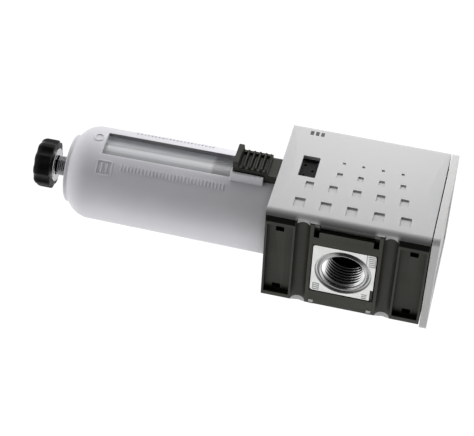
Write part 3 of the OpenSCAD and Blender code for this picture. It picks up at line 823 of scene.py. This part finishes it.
    # raised ring on the shoulder
    b = Builder()
    v, f = [], []
    seg, prof = 56, [(1.85, -0.3), (1.92, 0.3), (2.06, 0.42), (2.46, 0.42), (2.62, 0.3), (2.70, -0.3)]
    for k in range(seg):
        a = 2 * math.pi * k / seg
        for r, h in prof:
            x = r * math.cos(a)
            z = -128.4 + r * math.sin(a)
            R = 22.87 + h
            y = BY - math.sqrt(R * R - x * x)
            v.append((x - 0.9, y, z))
    L = len(prof)
    for k in range(seg):
        for j in range(L):
            j2 = (j + 1) % L
            f.append((k * L + j, ((k + 1) % seg) * L + j, ((k + 1) % seg) * L + j2, k * L + j2))
    b.add(v, f)

    # generic raised bars, all alike
    def stroke(az, z, w_az, h_z, proud=0.5, lean=0.0):
        """A raised bar on the guard: w_az is its size round the guard and h_z along it, mm."""
        R = 23.5 - 0.65 * (-39.5 - z) / 90.5
        n = 6
        vs3 = []
        for h, k in ((-0.35, 1.0), (proud - 0.08, 1.0), (proud, 0.72)):
            for i in range(n + 1):
                for sgn in (-1, 1):
                    u = (i / n - 0.5) * w_az * (1 if h < proud - 0.05 else (w_az - 0.2) / w_az)
                    hz = sgn * h_z / 2 * k
                    a = math.radians(az) + (u + 0) / R
                    vs3.append((BX + (R + h) * math.cos(a), BY + (R + h) * math.sin(a), z + hz + lean * u))
        L2 = 2 * (n + 1)
        f3 = []
        loop = [2 * i for i in range(n + 1)] + [2 * i + 1 for i in reversed(range(n + 1))]
        for s2 in range(2):
            for i in range(len(loop)):
                p, q = loop[i], loop[(i + 1) % len(loop)]
                f3.append((s2 * L2 + p, s2 * L2 + q, (s2 + 1) * L2 + q, (s2 + 1) * L2 + p))
        for i in range(n):
            f3.append((2 * L2 + 2 * i, 2 * L2 + 2 * i + 2, 2 * L2 + 2 * i + 3, 2 * L2 + 2 * i + 1))
            f3.append((2 * i, 2 * i + 1, 2 * i + 3, 2 * i + 2))
        b.add(vs3, f3)

    # one even row of plain bars on each side of the sight slot, and a plain frame with two bars
    for i in range(30):
        stroke(-55.3, -113.8 + 1.74 * i, 3.0, 0.66)
    for dz in (-125.4, -118.1):
        stroke(-51.5, dz, 6.6, 0.6)
    for az in (-59.9, -43.1):
        stroke(az, -121.75, 0.6, 6.8)
    for dz in (-123.0, -120.5):
        stroke(-51.5, dz, 4.4, 0.7)
    for i in range(22):
        stroke(-121.5, -112.0 + 1.8 * i, 2.6, 0.6)
    e = b.obj("guard_raised_marks", GUARD, 22.0)
    place(e, "bowl_guard", replaces=False)


make_guard()


# ---------------------------------------------------------------- clear bowl
def make_bowl():
    R, t = 19.5, 2.2
    ri, zb = R - t, -137.9
    prof = [(16.3, -21.6), (19.3, -21.6), (19.55, -21.8), (19.7, -22.2), (19.7, -23.1), (19.6, -23.3), (17.6, -23.3), (17.6, -25.9), (19.6, -25.9), (19.7, -26.1),
            (19.7, -29.6), (19.9, -29.8), (21.6, -29.8), (21.8, -30.0), (21.8, -31.3), (21.6, -31.5), (19.7, -31.5), (R, -31.8)]
    prof += [(R, z) for z in np.linspace(-36, zb + 10.2, 8)]
    for i in range(1, 15):
        a = math.radians(-90 * i / 14)
        prof.append((R - 10 + 10 * math.cos(a), zb + 10 + 10 * math.sin(a)))
    prof += [(4.98, zb), (4.98, zb + 2.8), (R - 9.6, zb + 2.8)]
    for i in range(1, 13):
        a = math.radians(-90 + 90 * i / 12)
        prof.append((ri - 7.4 + 7.4 * math.cos(a), zb + 10.2 + 7.4 * math.sin(a)))
    prof += [(ri, z) for z in np.linspace(-125, -34, 7)]
    prof += [(16.2, -31.5), (16.2, -21.8)]
    b = Builder()
    b.lathe(prof, 128, (BX, BY))
    o = b.obj("bowl_clear", CLEAR, 30.0)
    place(o, "bowl")


make_bowl()


# ---------------------------------------------------------------- lock button
LX = 1.0                    # the lock sits this far to +X of the bowl axis, mm


def make_button():
    x0, x1 = -6.9, 6.9
    z_lo, z_hi = -60.2, -38.75
    nx, nz = 64, 150
    xs = np.linspace(x0, x1, nx + 1)     # across the button, from its own middle
    base_z = np.linspace(z_lo, z_hi, nz + 1)
    ribs = [-55.1, -52.25, -49.5, -46.7, -44.0]

    def sstep(a, b, v):
        t = min(1.0, max(0.0, (v - a) / (b - a)))
        return t * t * (3 - 2 * t)

    def height(x, z):
        ax = abs(x)
        deck = 32.1
        if z > -43.35:
            deck = 30.2
        h = deck
        # lip at the lower end
        lip = sstep(-57.25, -57.75, z) if z > -58.5 else 1.0
        # ribs
        rib = max(math.exp(-((z - r) / 0.62) ** 4) for r in ribs)
        rib_x = 1 - sstep(5.9, 6.45, ax)
        groove_x = 1 - sstep(4.75, 5.25, ax)
        if -57.3 < z < -43.9:
            low = 31.0
            h = deck - (deck - low) * groove_x * (1 - rib)
            h += 1.2 * rib * rib_x
        elif -57.9 < z <= -57.3:
            h = deck - 1.1 * groove_x * sstep(-57.7, -57.3, z)
        h = h + (35.2 - h) * lip
        # small rounding along all outer edges
        e = min(x1 - ax, 10)
        h -= 0.22 * (1 - sstep(0, 0.35, e)) * 1.0
        if z - z_lo < 0.35:
            h -= 0.25 * (1 - sstep(0, 0.35, z - z_lo))
        if z_hi - z < 0.3:
            h -= 0.2 * (1 - sstep(0, 0.3, z_hi - z))
        return h

    # denser lines at the steps
    zs = sorted(set([round(float(v), 4) for v in base_z] + [-57.25, -57.4, -57.55, -57.75, -43.36, -43.34, -58.8, -46.0, -58.79, -46.01]))
    xs = sorted(set([round(float(v), 4) for v in xs] + [-2.3, -2.29, 2.29, 2.3, -6.85, 6.85, -6.75, 6.75]))
    nx, nz = len(xs) - 1, len(zs) - 1

    def under(x, z):
        if abs(x) < 2.295 and -58.795 < z < -46.005:
            return 30.9
        return -BY + math.sqrt(23.83 ** 2 - (x + LX) ** 2)

    vs, fs = [], []
    for x in xs:
        for z in zs:
            vs.append((x + LX, -height(x, z), z))
    for x in xs:
        for z in zs:
            vs.append((x + LX, -under(x, z), z))
    M = nz + 1
    N = (nx + 1) * M
    for i in range(nx):
        for j in range(nz):
            a, b, c, d = i * M + j, (i + 1) * M + j, (i + 1) * M + j + 1, i * M + j + 1
            fs.append((a, b, c, d))
            fs.append((N + d, N + c, N + b, N + a))
    for i in range(nx):
        fs.append((i * M, N + i * M, N + (i + 1) * M, (i + 1) * M))
        fs.append((i * M + nz, (i + 1) * M + nz, N + (i + 1) * M + nz, N + i * M + nz))
    for j in range(nz):
        fs.append((j, j + 1, N + j + 1, N + j))
        fs.append((nx * M + j, N + nx * M + j, N + nx * M + j + 1, nx * M + j + 1))
    b = Builder()
    b.add(vs, fs)
    o = b.obj("lock_button_grip", BLACK_BTN, 42.0)
    place(o, "lock_button")
    # tooth that locks in the housing
    b = Builder()
    n = 8
    v, f = [], []
    prof = [(23.87, -38.6), (24.0, -38.73), (24.55, -38.73), (24.7, -38.58), (24.7, -37.25), (24.55, -37.1), (24.0, -37.1), (23.87, -37.25)]
    for k in range(n + 1):
        a = math.radians(272.4 - 7 + 14 * k / n)
        for r, z in prof:
            v.append((BX + r * math.cos(a), BY + r * math.sin(a), z))
    L = len(prof)
    for k in range(n):
        for j in range(L):
            j2 = (j + 1) % L
            f.append((k * L + j, (k + 1) * L + j, (k + 1) * L + j2, k * L + j2))
    f.append(tuple(reversed(range(L))))
    f.append(tuple(n * L + j for j in range(L)))
    b.add(v, f)
    o = b.obj("lock_tooth_bar", BLACK_BTN, 42.0)
    place(o, "lock_tooth")


make_button()


# ---------------------------------------------------------------- drain parts
def make_knob():
    R, z1, z0, lobes = 12.0, -151.3, -159.8, 10
    seg = 240

    def radius(a):
        """Outline over the lobes: 12 mm, scooped by cylinders of r 6 centred at r 17.2, with soft shoulders."""
        p = 2 * math.pi / lobes
        d = (a + p / 2) % p - p / 2
        c, s = 17.2, 6.0
        x = c * math.cos(d)
        disc = s * s - (c * math.sin(d)) ** 2
        cut = x - math.sqrt(disc) if disc > 0 else 99.0
        # smooth minimum of the two
        k = 0.3
        h = max(k - abs(cut - R), 0) / k
        return min(cut, R) - h * h * k * 0.25

    def top_inner(r):
        return r

    outer = [(0.0, z1 - 0.5), (-0.05, z1 - 0.25), (-0.18, z1 - 0.08), (-0.4, z1)]
    outer_low = [(0.0, z0 + 2.6), (-0.12, z0 + 1.9), (-0.5, z0 + 1.0), (-1.3, z0 + 0.25), (-2.2, z0)]
    rows = []     # (kind, value, z): kind "rel" = outline + value, "abs" = plain radius
    rows += [("abs", 4.92, -155.2), ("abs", 4.92, z1 - 2.2), ("abs", 8.22, z1 - 2.2), ("abs", 8.22, z1 - 0.1), ("abs", 8.32, z1)]
    rows += [("rel", v, z) for v, z in reversed(outer)]
    rows += [("rel", 0.0, z1 - 2.5), ("rel", 0.0, z0 + 4.0)]
    rows += [("rel", v, z) for v, z in outer_low]
    rows += [("abs", 7.4, z0), ("abs", 7.2, z0 + 0.2), ("abs", 7.0, z0 + 0.9), ("abs", 5.4, z0 + 0.9), ("abs", 5.2, z0 + 0.2), ("abs", 5.0, z0),
             ("abs", 4.1, z0), ("abs", 3.8, z0 + 0.3), ("abs", 3.8, -157.2), ("abs", 1.42, -157.2), ("abs", 1.42, -155.2)]
    vs, fs = [], []
    m = len(rows)
    for k in range(seg):
        a = 2 * math.pi * k / seg
        ro = radius(a)
        for kind, val, z in rows:
            r = ro + val if kind == "rel" else min(val, ro - 0.5)
            vs.append((BX + r * math.cos(a), BY + r * math.sin(a), z))
    for k in range(seg):
        k2 = (k + 1) % seg
        for j in range(m):
            j2 = (j + 1) % m
            fs.append((k * m + j, k2 * m + j, k2 * m + j2, k * m + j2))
    o = mesh_obj("drain_knob_grip", vs, fs, BLACK_KNOB, 40.0)
    place(o, "drain_knob")
    # bright threaded insert pressed into the top of the knob
    b = Builder()
    b.lathe([(4.92, -153.4), (4.92, -150.4), (5.12, -150.25), (7.95, -150.25), (8.2, -150.5), (8.2, -153.4), (8.1, -153.48), (5.0, -153.48)], 96, (BX, BY))
    i = b.obj("drain_knob_insert", MIRROR, 40.0)
    weighted(i)
    place(i, "drain_insert")


make_knob()


def make_stem():
    zb = -137.9
    b = Builder()
    core = 4.38
    prof = [(3.3, -150.15), (core - 0.1, -150.15), (core, -150.05), (core, -139.9), (4.8, -139.6), (4.86, -139.4), (4.86, zb + 3.9), (7.5, zb + 3.9), (7.6, zb + 4.0),
            (7.6, zb + 6.0), (7.4, zb + 6.2), (3.4, zb + 6.2), (3.4, zb + 8.8), (3.2, zb + 9.0), (1.9, zb + 9.0), (1.7, zb + 8.8), (1.7, -140.9), (1.8, -141.0), (3.3, -141.0)]
    b.lathe(prof, 96, (BX, BY))
    helix_ridge(b, (BX, BY), "Z", 4.36, 4.86, 0.45, 0.9, -149.9, -139.8, 0.907, 64)
    o = b.obj("drain_stem_threaded", STEM, 50.0)
    place(o, "drain_stem")


make_stem()


# ---------------------------------------------------------------- ports
def make_port_threads():
    for s, nm in ((1, "outlet"), (-1, "inlet")):
        b = Builder()
        helix_ridge(b, (0, 0), "X", 10.64, 9.32, 0.9, 2.2, 16.6, 30.45, 1.814, 84, 0.35)
        if s < 0:
            b.v = [(-p[0], p[1], p[2]) for p in b.v]
            b.f = [tuple(reversed(q)) for q in b.f]
        o = b.obj("port_thread_" + nm, ZINC_TURNED, 60.0)
        place(o, "port_bushing_" + nm, replaces=False)
        # painted shadow: a thin black frame laid on the housing where the metal square sits in it
        b = Builder()
        h, x0, x1 = 15.10, 31.30, 31.51
        for y0, y1, z0, z1 in ((-h - 0.35, -h, -h - 0.3, h + 0.5), (h, h + 0.5, -h - 0.3, h + 0.5), (-h, h, -h - 0.3, -h), (-h, h, h, h + 0.5)):
            b.box((s * x0, y0, z0) if s > 0 else (-x1, y0, z0), (s * x1, y1, z1) if s > 0 else (-x0, y1, z1))
        place(b.obj("port_joint_shadow_line_" + nm, SHADOW_FRAME_BLACK, 40.0), "housing", replaces=False)
        # painted shade: a black strip over the housing flank right behind the cover edge, outside the clamp channels
        b = Builder()
        for z0, z1 in ((-38.4, -24.35), (24.35, 38.4)):
            b.box((s * 31.30, -28.78, z0) if s > 0 else (-31.505, -28.78, z0), (s * 31.505, -24.8, z1) if s > 0 else (-31.30, -24.8, z1))
        place(b.obj("cover_joint_shade_band_" + nm, JOINT_BAND_SHADE, 40.0), "housing", replaces=False)


make_port_threads()
for nm in ("outlet", "inlet"):
    from_cad("port_bushing_" + nm, ZINC_PORT, 0.22, 3, name="port_flange_" + nm)


# ---------------------------------------------------------------- refined CAD parts
from_cad("housing", BLACK, 0.22, 2)
from_cad("rear_cover", COVER, 0.22, 2)
from_cad("top_cover", COVER_TOP, 0.25, 2)
# painted shade: the window insert gets a darker black than the housing
from_cad("window_insert", WINDOW_SHADE, 0.1, 2)
from_cad("cover_screws", STEEL, 0.08, 2)
from_cad("tie_stud", STEEL, 0.2, 2)
from_cad("swirl_deflector", BLACK_DEEP, 0.08, 1)
from_cad("baffle", BLACK_DEEP, 0.12, 2)
from_cad("drain_nut", NICKEL, 0.15, 2)
from_cad("drain_valve", STEEL, 0.1, 2)
from_cad("drain_seal", RUBBER, 0.12, 2)
from_cad("drain_spring_seat", STEEL, 0.08, 2)


def lathe_piece(name, node_name, mat, prof, seg=96, centre=(BX, BY), axis="Z", sharp=40.0):
    b = Builder()
    b.lathe(prof, seg, centre, axis)
    o = b.obj(name, mat, sharp)
    place(o, node_name)
    return o


def o_ring(b, rc, r, h, centre, axis, seg=112, m=20):
    b.lathe([(rc + r * math.cos(2 * math.pi * i / m), h + r * math.sin(2 * math.pi * i / m)) for i in range(m)], seg, centre, axis)


b = Builder()
for s in (-1, 1):
    o_ring(b, 11.93, 0.71, s * (31.5 - 15.2 + 3.25), (0, 0), "X")
place(b.obj("bushing_o_rings", RUBBER, 60.0), "bushing_orings")
b = Builder()
o_ring(b, 18.72, 1.08, -24.6, (BX, BY), "Z")
place(b.obj("bowl_o_ring", RUBBER, 60.0), "bowl_oring")


def washer(name, node_name, r0, r1, z0, z1, e=0.15):
    return lathe_piece(name, node_name, RUBBER, [(r0, z0 + e), (r0 + e, z0), (r1 - e, z0), (r1, z0 + e), (r1, z1 - e), (r1 - e, z1), (r0 + e, z1), (r0, z1 - e)])


washer("gasket_top", "element_gasket_top", 7, 13, -32, -31.02)
washer("gasket_bottom", "element_gasket_bottom", 7, 13, -59, -58.02)
washer("gasket_drain", "drain_gasket", 4.9, 7.4, -135.08, -134.02)


def make_element():
    """Sintered sleeve: the outer skin is roughened, grain by grain."""
    z0, z1, r0, r1 = -58.0, -32.02, 9.0, 13.6
    seg, rows = 150, 56
    vs, fs = [], []
    prof = [("o", z0 + (z1 - z0) * i / rows) for i in range(rows + 1)]
    jit = rng.random((seg, rows + 1))
    jit = (jit + np.roll(jit, 1, 0) + np.roll(jit, 1, 1)) / 3
    m = rows + 1 + 2
    for k in range(seg):
        a = 2 * math.pi * k / seg
        for i, (_, z) in enumerate(prof):
            r = r1 - (0.0 if i in (0, rows) else 0.34 * jit[k, i]) - (0.25 if i in (0, rows) else 0)
            vs.append((BX + r * math.cos(a), BY + r * math.sin(a), z))
        vs.append((BX + r0 * math.cos(a), BY + r0 * math.sin(a), z1))
        vs.append((BX + r0 * math.cos(a), BY + r0 * math.sin(a), z0))
    for k in range(seg):
        k2 = (k + 1) % seg
        for j in range(m):
            j2 = (j + 1) % m
            fs.append((k * m + j, k2 * m + j, k2 * m + j2, k * m + j2))
    place(mesh_obj("element_sleeve", vs, fs, ELEMENT, 60.0), "filter_element")


make_element()

sp = spring_obj("lock_spring_wire", (1.0, -29.1), 1.15, 0.25, -56.28, -46.02, 6, STEEL)
place(sp, "lock_spring")
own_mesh(sp)
sp = spring_obj("drain_spring_wire", (BX, BY), 2.35, 0.3, -149.28, -144.02, 5, STEEL)
place(sp, "drain_spring")
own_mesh(sp)

# small cast figures on the metal flange: plain raised dots and bars, painted darker than the flange metal as painted
# shade
b = Builder()
for s in (1, -1):
    marks = [(-15.3 + 1.25 * i, 12.6 + 0.12 * i, 0.5, 3.2) for i in range(7)]
    marks += [(-11.5, 10.6, 7.6, 0.4), (-11.5, 14.75, 7.6, 0.4)]
    marks += [(10.2 + 1.3 * i, -12.3, 0.5, 2.4) for i in range(4)] + [(12.2, -13.7, 4.2, 0.4), (12.2, -10.9, 4.2, 0.4)]
    marks += [(11.8 + 1.2 * i, 11.2, 0.5, 2.6) for i in range(3)]
    for y, z, dy, dz in marks:
        lo = (31.2, y - dy / 2, z - dz / 2)
        hi = (31.49, y + dy / 2, z + dz / 2)
        if max(abs(y), abs(z)) + 0.2 > 15.0:
            continue
        if s < 0:
            lo, hi = (-hi[0], lo[1], lo[2]), (-lo[0], hi[1], hi[2])
        b.box(lo, hi, 0.05)
place(b.obj("flange_cast_marks", ZINC_MARK_SHADE, 50.0), "port_bushing_outlet", replaces=False)


# ---------------------------------------------------------------- stage: floor, light, camera
def make_stage():
    m, nt, bs = new_mat("floor_paper")
    co = nt.nodes.new("ShaderNodeTexCoord").outputs["Object"]
    f = noise(nt, co, 40.0, 3.0)
    nt.links.new(mix(nt, f, (0.70, 0.70, 0.70), (0.72, 0.72, 0.72)), bs.inputs["Base Color"])
    bs.inputs["Roughness"].default_value = 0.9
    bs.inputs["Specular IOR Level"].default_value = 0.1
    bs.inputs["Emission Color"].default_value = (1, 1, 1, 1)
    bs.inputs["Emission Strength"].default_value = 0.42
    R, seg = 0.62, 96
    b = Builder()
    vs = [(0, 0, -420.0)] + [(R * 1000 * math.cos(2 * math.pi * k / seg), R * 1000 * math.sin(2 * math.pi * k / seg), -420.0) for k in range(seg)]
    b.add(vs, [(0, 1 + k, 1 + (k + 1) % seg) for k in range(seg)])
    fl = b.obj("studio_floor", m)

    w = bpy.data.worlds.new("studio")
    scene.world = w
    w.use_nodes = True
    nt = w.node_tree
    for n in list(nt.nodes):
        nt.nodes.remove(n)
    out = nt.nodes.new("ShaderNodeOutputWorld")
    tc = nt.nodes.new("ShaderNodeTexCoord")
    dot = nt.nodes.new("ShaderNodeVectorMath")
    dot.operation = "DOT_PRODUCT"
    c0 = Vector((math.cos(math.radians(-43)), math.sin(math.radians(-43)), 0.08)).normalized()
    dot.inputs[1].default_value = c0
    nt.links.new(tc.outputs["Generated"], dot.inputs[0])
    mr = nt.nodes.new("ShaderNodeMapRange")
    mr.inputs["From Min"].default_value = -1.0
    mr.inputs["From Max"].default_value = 1.0
    nt.links.new(dot.outputs["Value"], mr.inputs["Value"])
    ramp = nt.nodes.new("ShaderNodeValToRGB")
    stops = [(-1.0, 0.50), (-0.6, 0.70), (-0.3, 1.18), (-0.12, 1.48), (0.085, 1.36), (0.25, 1.0), (0.415, 0.52), (0.585, 0.18), (0.75, 0.05), (0.9, 0.02)]
    el = ramp.color_ramp.elements
    while len(el) > 1:
        el.remove(el[-1])
    for i, (t, L) in enumerate(stops):
        e = el[0] if i == 0 else el.new((t + 1) / 2)
        e.position = (t + 1) / 2
        v = L / 1.5
        e.color = (v, v, v, 1)
    nt.links.new(mr.outputs["Result"], ramp.inputs["Fac"])
    bg = nt.nodes.new("ShaderNodeBackground")
    bg.inputs["Strength"].default_value = 1.5 * 1.32
    nt.links.new(ramp.outputs["Color"], bg.inputs["Color"])
    white = nt.nodes.new("ShaderNodeBackground")
    white.inputs["Color"].default_value = (1, 1, 1, 1)
    white.inputs["Strength"].default_value = 1.05
    lp = nt.nodes.new("ShaderNodeLightPath")
    mx = nt.nodes.new("ShaderNodeMixShader")
    nt.links.new(lp.outputs["Is Camera Ray"], mx.inputs[0])
    nt.links.new(bg.outputs[0], mx.inputs[1])
    nt.links.new(white.outputs[0], mx.inputs[2])
    nt.links.new(mx.outputs[0], out.inputs["Surface"])

    def area(name, loc, target, size, power, colour=(1, 1, 1)):
        L = bpy.data.lights.new(name, "AREA")
        L.shape = "RECTANGLE"
        L.size, L.size_y = size
        L.energy = power
        L.color = colour
        o = bpy.data.objects.new(name, L)
        scene.collection.objects.link(o)
        o.location = loc
        d = Vector(target) - Vector(loc)
        o.rotation_euler = d.to_track_quat("-Z", "Y").to_euler()
        o.visible_camera = False
        return o

    area("soft_key", (-0.085, -0.115, 0.0), (0.0, -0.02, 0.0), (0.05, 0.15), 0.098)
    area("soft_strip", (-0.105, -0.145, -0.150), (0.0, -0.02, -0.100), (0.0045, 0.17), 0.010)


make_stage()

cam_data = bpy.data.cameras.new("camera")
cam = bpy.data.objects.new("camera", cam_data)
scene.collection.objects.link(cam)
M = Matrix(((-0.23556864, -0.03454721, 0.97124348), (0.67631466, 0.71185855, 0.18935649), (-0.69792972, 0.70147266, -0.14432676)))
rot = M.transposed() @ Matrix(((1, 0, 0), (0, -1, 0), (0, 0, -1)))
cam.matrix_world = Matrix.Translation(Vector((0.5802186, -0.5743664, 0.0614418))) @ rot.to_4x4()
cam_data.sensor_fit = "HORIZONTAL"
cam_data.sensor_width = 36.0
cam_data.lens = 1689.006 / 474 * 36
cam_data.clip_start = 0.01
cam_data.clip_end = 50
scene.camera = cam
scene.view_settings.view_transform = "Standard"
scene.view_settings.look = "None"
scene.view_settings.exposure = 0.0
scene.view_settings.gamma = 1.0
